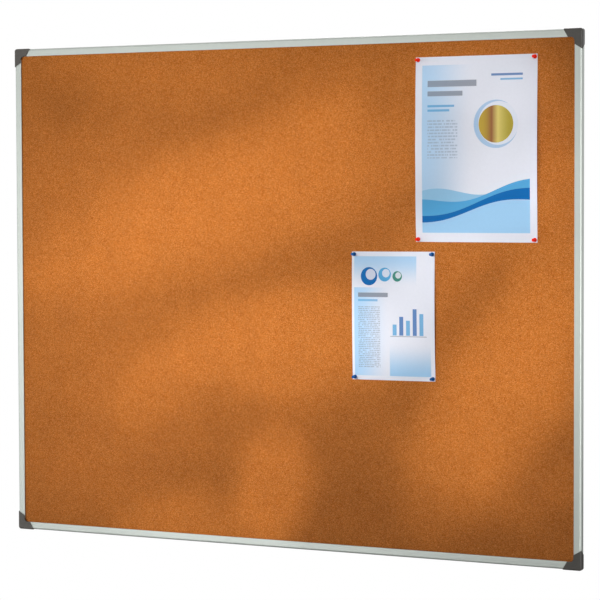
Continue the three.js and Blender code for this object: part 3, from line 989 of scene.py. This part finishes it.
def turned(name, outline, steps=TURNED_STEPS):
    """A closed solid: an outline of (radius, forward) turned about an axis that points forward."""
    form = bmesh.new()
    angles = [2 * math.pi * step / steps for step in range(steps)]
    around = [(math.cos(angle), math.sin(angle)) for angle in angles]
    rings = []
    for radius, forward in outline:
        if radius < WELD:
            rings.append([form.verts.new((0, -forward, 0))])
        else:
            rings.append([form.verts.new((radius * x, -forward, radius * z)) for x, z in around])
    for first, second in zip(rings, rings[1:]):
        for step in range(steps):
            after = (step + 1) % steps
            quad = ((first, step), (first, after), (second, after), (second, step))
            corners = list(dict.fromkeys(ring[at % len(ring)] for ring, at in quad))
            if len(corners) > 2:
                form.faces.new(corners)
    bmesh.ops.recalc_face_normals(form, faces=form.faces)
    return mesh_of(form, name)


def cut_from(mesh, name, *cutters):
    """A mesh with others cut out of it."""
    piece = as_object(name, mesh)
    knives = [as_object(f"knife_{at}", cutter) for at, cutter in enumerate(cutters)]
    for knife in knives:
        boolean = piece.modifiers.new("cut", "BOOLEAN")
        boolean.operation = "DIFFERENCE"
        boolean.solver = "EXACT"
        boolean.object = knife
    result = baked(piece, name)
    for knife in knives:
        bpy.data.objects.remove(knife)
    return result


# %% One screw
HEAD_RADIUS = 2.6 * MM
SHANK_RADIUS = 1.25 * MM
SCREW_LENGTH = 7 * MM
CROSS_LENGTH = 2.9 * MM
CROSS_WIDTH = 0.62 * MM
CROSS_DEPTH = 1.1 * MM
CROSS_TAPER = (0.45, 0.7)
HEAD_INSET = 0.05 * MM
TIP_LENGTH = 1.5 * MM
SCREW_STEPS = 40

# Each corner: radius, distance forward, and the corner's own radius.
screw_outline = rounded([
    (0, HEAD_INSET, 0),
    (HEAD_RADIUS, HEAD_INSET, 0.12 * MM),
    (SHANK_RADIUS, SINK_DEPTH, 0.2 * MM),
    (SHANK_RADIUS, SCREW_LENGTH - TIP_LENGTH, 0.3 * MM),
    (0, SCREW_LENGTH, 0),
])


def cross_arm(turn):
    """One arm of the cross: a wedge that narrows into the head."""
    form = bmesh.new()
    bmesh.ops.create_cube(form, size=1)
    bmesh.ops.scale(form, vec=(CROSS_LENGTH, 2 * CROSS_DEPTH, CROSS_WIDTH), verts=form.verts)
    for vert in form.verts:
        if vert.co.y < 0:
            vert.co.x *= CROSS_TAPER[0]
            vert.co.z *= CROSS_TAPER[1]
    mesh = mesh_of(form, "cross_arm")
    mesh.transform(Matrix.Rotation(turn, 4, "Y"))
    return mesh


arms = [cross_arm(turn) for turn in (0, math.pi / 2)]
one_screw = cut_from(turned("screw", screw_outline, SCREW_STEPS), "screw", *arms)
print("screw faces:", len(one_screw.polygons))

# %% Zinc finish
zinc, tree, surface = finish("zinc", Metallic=1.0)
slow = slow_tone(tree, place_of(tree), coarse=400.0, fine=1500.0)
coat(
    tree, surface, slow, colour(150, 152, 156), colour(190, 190, 186),
    # The lighter edge colour is partly wear and partly a painted highlight.
    edge=(0.4, 0.25 * MM, colour(225, 225, 222)),
    rough=(slow, 0.24, 0.42),
    relief=(slow, 0.2, 0.03 * MM),
)
print("made the finish", zinc.name)

# %% Screw tree
tree, (points, screw, seed, skin) = geometry_group(
    "screws_on_points", Screw=OBJECT, Seed=INTEGER, Finish=MATERIAL
)
source = node(tree, "GeometryNodeObjectInfo", {"Object": screw})
angle = node(tree, "FunctionNodeRandomValue", {
    "Min": (0, 0, 0),
    "Max": (0, math.pi / 2, 0),
    "Seed": seed,
}, data_type="FLOAT_VECTOR")
set_out = node(tree, "GeometryNodeInstanceOnPoints", {
    "Points": points,
    "Instance": source.outputs["Geometry"],
    "Rotation": angle.outputs["Value"],
})
screw_tree = give_geometry(tree, set_out.outputs[0], skin)

# %% Screws in place
SCREW_SEED = 4


def rear_middle(name):
    """The middle of a CAD node's rear face."""
    low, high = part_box(name)
    return Vector(((low.x + high.x) / 2, high.y, (low.z + high.z) / 2))


screw_nodes = [f"bracket_screw_{corner}_{number}" for corner in CORNERS for number in (1, 2)]
points = bpy.data.meshes.new("screw_points")
points.from_pydata([rear_middle(name) for name in screw_nodes], [], [])
pattern = as_object("screw_pattern", one_screw)
mesh = grown("bracket_screws", points, screw_tree, Screw=pattern, Seed=SCREW_SEED, Finish=zinc)
bpy.data.objects.remove(pattern)
rider("bracket_screws", evened(mesh), zinc, "board", "zinc_screw", *screw_nodes)
print("screws set:", len(screw_nodes))

# %% [markdown]
# ## Push pins
#
# A push pin is a small spool of bright glossy plastic: a wide collar that presses the paper, a
# waist for the fingers and a rounded head, with the little gate mark of the mould on top. Its
# steel needle is ground to a point. Joined cones and discs would leave hard seams, so both are
# turned from one outline each, with round corners. Each pin rides on a body of its own, because
# each pulls out by itself.

# %% Pin and needle finishes
def glossy_finish(name, deep, bright):
    made, tree, surface = finish(name, Specular_IOR_Level=0.25)
    slow = slow_tone(tree, place_of(tree), coarse=180.0, fine=900.0)
    coat(tree, surface, slow, deep, bright, rough=(slow, 0.16, 0.26), relief=(slow, 0.1, 0.05 * MM))
    return made


red_plastic = glossy_finish("red_plastic", colour(252, 16, 0), colour(255, 38, 0))
blue_plastic = glossy_finish("blue_plastic", colour(0, 74, 142), colour(2, 96, 172))

NEEDLE_SCALE = (1, 60, 1)
needle_steel, tree, surface = finish("needle_steel", Metallic=1.0)
slow = slow_tone(tree, place_of(tree, scale=NEEDLE_SCALE), coarse=500.0, fine=2500.0)
coat(tree, surface, slow, colour(178, 180, 184), colour(206, 208, 210), rough=(slow, 0.14, 0.26))
print("made the pins' finishes")

# %% Pin outline
# Radius, height above the paper, and the corner's own radius, all in mm.
PIN_CORNERS = [
    (0, 5.3, 0),
    (0.85, 5.3, 0),
    (0.85, 0, 0.12),
    (4.8, 0, 0.3),
    (4.8, 1.5, 0.65),
    (2.5, 3.4, 2.2),
    (2.5, 6.0, 5.0),
    (3.6, 8.6, 5.0),
    (3.6, 11.5, 0.75),
    (1.0, 11.45, 0.2),
    (0.85, 11.25, 0.1),
    (0.3, 11.25, 0.1),
    (0.25, 11.4, 0.08),
    (0, 11.4, 0),
]
NEEDLE_CORNERS = [
    (0, -8, 0),
    (0.06, -7.96, 0),
    (0.55, -5.5, 1.5),
    (0.55, 5, 0.12),
    (0, 5, 0),
]
NEEDLE_STEPS = 32


def in_metres(corners):
    return [tuple(value * MM for value in corner) for corner in corners]


one_pin = evened(turned("pin", rounded(in_metres(PIN_CORNERS))))
one_needle = evened(turned("needle", rounded(in_metres(NEEDLE_CORNERS)), NEEDLE_STEPS))
PIN_KINDS = {"poster": (red_plastic, "red_pin"), "notice": (blue_plastic, "blue_pin")}
pin_places = {}
for sheet, (skin, slot) in PIN_KINDS.items():
    for corner in CORNERS:
        cad = f"{sheet}_pin_{corner}"
        place = rear_middle(cad)
        pin_places.setdefault(sheet, []).append(place)
        for name, one, dress, finish_slot, source in (
            (cad, one_pin, skin, slot, cad),
            (f"{cad}_steel", one_needle, needle_steel, "needle_steel", f"{cad}_needle"),
        ):
            mesh = one.copy()
            mesh.transform(Matrix.Translation(place))
            rider(f"{name}_turned", mesh, dress, cad, finish_slot, source)
print("pin faces:", len(one_pin.polygons), "needle faces:", len(one_needle.polygons))

# %% [markdown]
# ## Printed sheets
#
# The two sheets are standard A3 and A4 paper, a quarter of a millimetre thick with its print.
# Pinned at the corners, paper bows out between the pins. A cloth simulation could bend it, but a
# few waves give so slight a curve with less work, and the same each time. So each sheet is a fine
# grid with a front, a back and a rim, and a function of its own says how far a point stands off
# the cork. Needle holes are cut through it. The UV map counts across and up the front, so that the
# print follows the paper.

# %% Sheet builder
CORK_FRONT = -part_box("cork_sheet")[0].y
PAPER = 0.25 * MM
GRID_STEP = 5 * MM
PLAIN_SPOT = (0.004, 0.004)
HOLE_RADIUS = 0.62 * MM
HOLE_LENGTH = 4 * MM
HOLE_STEPS = 16


def sheet_mesh(name, middle, width, height, turn, stand_off):
    """A thin sheet over a grid, where stand_off(u, v) is its distance from the cork."""
    form = bmesh.new()
    print_map = form.loops.layers.uv.new("print")
    across, up = round(width / GRID_STEP), round(height / GRID_STEP)
    laid = Matrix.Translation((middle.x, 0, middle.z)) @ Matrix.Rotation(math.radians(-turn), 4, "Y")
    front, back = {}, {}
    for layer, lift in ((front, PAPER), (back, 0)):
        for row, column in itertools.product(range(up + 1), range(across + 1)):
            u, v = column / across, row / up
            point = laid @ Vector(((u - 0.5) * width, 0, (v - 0.5) * height))
            point.y = -(CORK_FRONT + lift + stand_off(u, v))
            layer[row, column] = form.verts.new(point)

    def face(points, spots=(PLAIN_SPOT,) * 4):
        for loop, spot in zip(form.faces.new(points).loops, spots):
            loop[print_map].uv = spot

    for row, column in itertools.product(range(up), range(across)):
        corners = ((row, column), (row, column + 1), (row + 1, column + 1), (row + 1, column))
        face([front[at] for at in corners], [(c / across, r / up) for r, c in corners])
        face([back[at] for at in reversed(corners)])
    rim = [(0, c) for c in range(across)] + [(r, across) for r in range(up)]
    rim += [(up, c) for c in range(across, 0, -1)] + [(r, 0) for r in range(up, 0, -1)]
    for at, after in zip(rim, rim[1:] + rim[:1]):
        face((back[at], back[after], front[after], front[at]))
    return mesh_of(form, name)


def needle_hole(place):
    """A thin rod through the paper at a pin."""
    outline = [(0, 0), (HOLE_RADIUS, 0), (HOLE_RADIUS, HOLE_LENGTH), (0, HOLE_LENGTH)]
    hole = turned("needle_hole", outline, HOLE_STEPS)
    hole.transform(Matrix.Translation((place.x, HOLE_LENGTH / 2 - CORK_FRONT, place.z)))
    return hole


print("the cork's front is", round(CORK_FRONT / MM, 2), "mm from the wall")

# %% How the sheets bow
PIN_REACH = 18 * MM
BULGE_POWER = 1.2


def wave(t, half_waves=1):
    """A wave of height 1 that is 0 at both ends."""
    return math.sin(half_waves * math.pi * t)


def near(distance, reach):
    """1 at no distance, fading over a reach."""
    return math.exp(-((distance / reach) ** 2))


def held_down(name, width, height):
    """A factor that is 0 at the sheet's pins and grows to 1 away from them."""
    low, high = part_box(f"{name}_sheet")
    places = [(place.x - low.x, place.z - low.z) for place in pin_places[name]]

    def factor(u, v):
        to_pin = min(math.hypot(u * width - x, v * height - z) for x, z in places)
        return 1 - near(to_pin, PIN_REACH)

    return factor


def poster_bow(u, v):
    """A broad bulge, ripples along the left edge and a lift at the top.

    Heights are in mm, and reaches are shares of the sheet.
    """
    bulge = 3.7 * wave(v) ** BULGE_POWER * (1 - 0.2 * wave(u))
    ripples = near(u, 0.12) * (0.5 * wave(v, 3) ** 2 + 0.3 * wave(v, 7) ** 2)
    top = 0.9 * near(1 - v, 0.05) * wave(u)
    return (bulge + ripples + top) * MM


def notice_bow(u, v):
    """A bulge that grows to the right, and lifts at the right side and the foot."""
    bulge = 2.5 * wave(v) ** BULGE_POWER * (0.7 + 0.3 * u)
    side = 0.7 * near(1 - u, 0.2) * wave(v) ** 2
    foot = 0.8 * near(v, 0.06) * wave(u)
    return (bulge + side + foot) * MM


# %% [markdown]
# ## What is printed
#
# The prints are generic: soft blue grounds, a disc, waves, bars and grey lines that stand for
# words. Shapes like these need no picture file. Each is a mask that a few sums make from a place
# on the paper in millimetres, so every edge stays crisp at any distance, and one group of nodes
# serves both sheets.

# %% Print shapes
STRIP_SHARE = 0.5
LINE_SHIFT = 7.31
WORD_GAP = 0.07

tree, (place, low, high) = shader_group("print_block", Place=ORIGIN, Low=ORIGIN, High=ORIGIN)
from_low = split(tree, vector(tree, "SUBTRACT", place, low))
to_high = split(tree, vector(tree, "SUBTRACT", high, place))
least = from_low[0]
for distance in (from_low[1], to_high[0], to_high[1]):
    least = calc(tree, "MINIMUM", least, distance)
print_block = give(tree, Mask=calc(tree, "GREATER_THAN", least, 0.0))

tree, (place, middle, radius) = shader_group(
    "print_disc", Place=ORIGIN, Middle=ORIGIN, Radius=10.0
)
share = calc(tree, "DIVIDE", vector(tree, "DISTANCE", place, middle), radius)
print_disc = give(tree, Mask=calc(tree, "LESS_THAN", share, 1.0), Share=share)

tree, (place, level, slope, swing, turns, start) = shader_group(
    "print_wave", Place=ORIGIN, Level=100.0, Slope=0.0, Swing=12.0, Turns=0.02, Start=0.0
)
across, up, _ = split(tree, place)
swung = calc(tree, "SINE", calc(tree, "ADD", times(tree, across, turns), start))
crest = calc(tree, "ADD", times(tree, across, slope), times(tree, swung, swing))
depth = calc(tree, "SUBTRACT", calc(tree, "ADD", crest, level), up)
print_wave = give(tree, Mask=calc(tree, "GREATER_THAN", depth, 0.0))

tree, (place, pitch, word) = shader_group("print_words", Place=ORIGIN, Pitch=4.0, Word=9.0)
across, up, _ = split(tree, place)
line = calc(tree, "DIVIDE", up, pitch)
in_line = calc(tree, "LESS_THAN", calc(tree, "FRACT", line), STRIP_SHARE)
row = times(tree, calc(tree, "FLOOR", line), LINE_SHIFT)
strip = joined(tree, calc(tree, "DIVIDE", across, word), row)
gaps = cells(tree, strip, 1.0, feature="DISTANCE_TO_EDGE", voronoi_dimensions="2D")
in_word = calc(tree, "GREATER_THAN", gaps, WORD_GAP)
print_words = give(tree, Mask=times(tree, in_word, in_line))

# %% Paper
PAPER_WHITE = colour(231, 233, 243)
DEEP, MIDDLE, PALE = colour(0, 102, 174), colour(84, 166, 216), colour(160, 205, 240)
GREY = colour(128, 134, 146)


class Print:
    """Inks laid one over the other on a sheet, with places in mm from its lower left corner."""

    def __init__(self, name, width, height):
        self.made, self.tree, self.surface = finish(name, Roughness=0.5, Specular_IOR_Level=0.2)
        where = node(self.tree, "ShaderNodeUVMap", uv_map="print").outputs[0]
        size = (width / MM, height / MM, 1)
        self.place = node(self.tree, "ShaderNodeMapping", {"Vector": where, "Scale": size}).outputs[0]
        self.across, self.up, _ = split(self.tree, self.place)
        self.ink = PAPER_WHITE

    def lay(self, ink, strength, *masks):
        """Lays an ink, up to a strength of 1, where all the masks meet."""
        for mask in masks:
            strength = times(self.tree, mask, strength)
        self.ink = mixed(self.tree, strength, self.ink, ink)

    def shape(self, group, **values):
        return placed(self.tree, group, Place=self.place, **values)

    def block(self, left, low, right, high):
        return self.shape(print_block, Low=(left, low, -1), High=(right, high, 1))["Mask"]

    def disc(self, across, up, radius, output="Mask"):
        return self.shape(print_disc, Middle=(across, up, 0), Radius=radius)[output]

    def words(self, pitch, word):
        return self.shape(print_words, Pitch=pitch, Word=word)["Mask"]

    def fade(self, value, start, end):
        """0 where the value is at the start, and 1 at the end."""
        return spread(self.tree, value, start, end, 0.0, 1.0, interpolation_type="SMOOTHSTEP")

    def done(self):
        """The last ink goes to the shader, with the paper's own slow cloudiness and tooth."""
        place = place_of(self.tree)
        felt = placed(self.tree, fibres, Place=place, Per_Metre=2600.0, Stretch=2.0)["Shade"]
        slow = slow_tone(self.tree, place, coarse=9.0, fine=160.0)
        shift = spread(self.tree, slow, LOW_TONE, HIGH_TONE, 0.975, 1.01)
        put(self.tree, self.surface["Base Color"], vector(self.tree, "SCALE", self.ink, shift))
        put(self.tree, self.surface["Normal"], bumped(self.tree, felt, 0.12, 0.03 * MM))
        print(self.made.name, "has", len(self.tree.nodes), "nodes")
        return self.made


print("paper and inks ready")

# %% The large sheet's print
POSTER_WIDTH, POSTER_HEIGHT = 297 * MM, 420 * MM

# Blocks are given by their left, low, right and high edges, and discs by their middle and radius.
sheet = Print("poster_print", POSTER_WIDTH, POSTER_HEIGHT)
ground = sheet.block(16.5, 21, 280, 401)
sheet.lay(PALE, 0.75, ground, sheet.fade(sheet.across, 150, 16))
sheet.lay(PALE, 0.8, ground, sheet.fade(sheet.up, 110, 20))
halo = sheet.disc(196, 262, 92, "Share")
sheet.lay(PAPER_WHITE, 0.85, ground, sheet.fade(halo, 1.0, 0.55))
# Waves have a level, a slope, a swing, turns per mm and a start. Each is inked below its crest.
for level, slope, swing, turns, start, ink in (
    (104, 0.10, 13, 0.024, 0.6, colour(150, 198, 230)),
    (86, 0.16, 12, 0.022, 2.0, MIDDLE),
    (60, 0.20, 11, 0.020, 3.2, DEEP),
    (48, 0.17, 10, 0.021, 3.5, PALE),
):
    below = sheet.shape(print_wave, Level=level, Slope=slope, Swing=swing, Turns=turns, Start=start)
    sheet.lay(ink, 1.0, ground, below["Mask"])
gold = ramp(sheet.tree, sheet.fade(sheet.across, 160, 236), [
    (0.0, colour(190, 160, 62)),
    (0.3, colour(150, 96, 62)),
    (0.6, colour(222, 204, 116)),
    (1.0, colour(176, 158, 60)),
])
for across, up, radius, ink, strength in (
    (198, 266, 54, MIDDLE, 0.55),
    (204, 268, 49, PAPER_WHITE, 0.9),
    (198, 266, 42, gold, 1.0),
):
    sheet.lay(ink, strength, ground, sheet.disc(across, up, radius))
for left, low, right, high, ink in (
    (30, 352, 150, 366, GREY),
    (30, 331, 116, 342, GREY),
    (30, 306, 96, 311, MIDDLE),
    (30, 296, 84, 301, MIDDLE),
    (186, 374, 262, 379, DEEP),
    (208, 364, 262, 368, MIDDLE),
):
    sheet.lay(ink, 0.8, sheet.block(left, low, right, high))
sheet.lay(colour(150, 168, 190), 0.55, sheet.block(30, 190, 104, 280), sheet.words(7.0, 11.0))
poster_print = sheet.done()

# %% The small sheet's print
NOTICE_WIDTH, NOTICE_HEIGHT = 210 * MM, 297 * MM
CHART_LEFT, CHART_FOOT, CHART_HEIGHT = 104, 104, 72
BAR_PITCH, BAR_WIDTH = 17, 10
GLINT_SHIFT, GLINT_SHARE = 0.2, 0.6

sheet = Print("notice_print", NOTICE_WIDTH, NOTICE_HEIGHT)
sheet.lay(PALE, 0.85, sheet.block(6, 10, 96, 214), sheet.fade(sheet.across, 100, 6))
sheet.lay(PALE, 0.85, sheet.block(6, 216, 164, 286), sheet.fade(sheet.up, 214, 286))
sheet.lay(PALE, 0.95, sheet.block(96, 10, 200, 86), sheet.fade(sheet.up, 90, 10))
for across, up, radius, ink in (
    (44, 240, 21, DEEP),
    (84, 244, 16, MIDDLE),
    (116, 240, 12, colour(60, 134, 120)),
):
    sheet.lay(ink, 1.0, sheet.disc(across, up, radius))
    shift = radius * GLINT_SHIFT
    sheet.lay(PAPER_WHITE, 0.8, sheet.disc(across + shift, up + shift, radius * GLINT_SHARE))
sheet.lay(GREY, 0.85, sheet.block(16, 192, 92, 202))
sheet.lay(MIDDLE, 0.7, sheet.block(16, 182, 66, 187))
sheet.lay(colour(120, 128, 142), 0.55, sheet.block(16, 28, 72, 172), sheet.words(4.2, 7.0))
bars = ((0.35, MIDDLE), (0.6, DEEP), (0.48, MIDDLE), (0.85, DEEP), (0.7, MIDDLE))
for column, (share, ink) in enumerate(bars):
    left = CHART_LEFT + BAR_PITCH * column
    top = CHART_FOOT + CHART_HEIGHT * share
    sheet.lay(ink, 0.85, sheet.block(left, CHART_FOOT, left + BAR_WIDTH, top))
sheet.lay(GREY, 0.8, sheet.block(98, 101, 190, 102.5))
notice_print = sheet.done()

# %% Sheets in place
NOTICE_TURN = 0.3
for name, width, height, turn, bow, skin in (
    ("poster", POSTER_WIDTH, POSTER_HEIGHT, 0, poster_bow, poster_print),
    ("notice", NOTICE_WIDTH, NOTICE_HEIGHT, NOTICE_TURN, notice_bow, notice_print),
):
    low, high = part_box(f"{name}_sheet")
    held = held_down(name, width, height)
    mesh = sheet_mesh(name, (low + high) / 2, width, height, turn, lambda u, v: bow(u, v) * held(u, v))
    mesh = evened(cut_from(mesh, name, *[needle_hole(place) for place in pin_places[name]]))
    rider(f"printed_{name}", mesh, skin, "board", "printed_paper", f"{name}_sheet")
    print(name, "faces:", len(mesh.polygons))
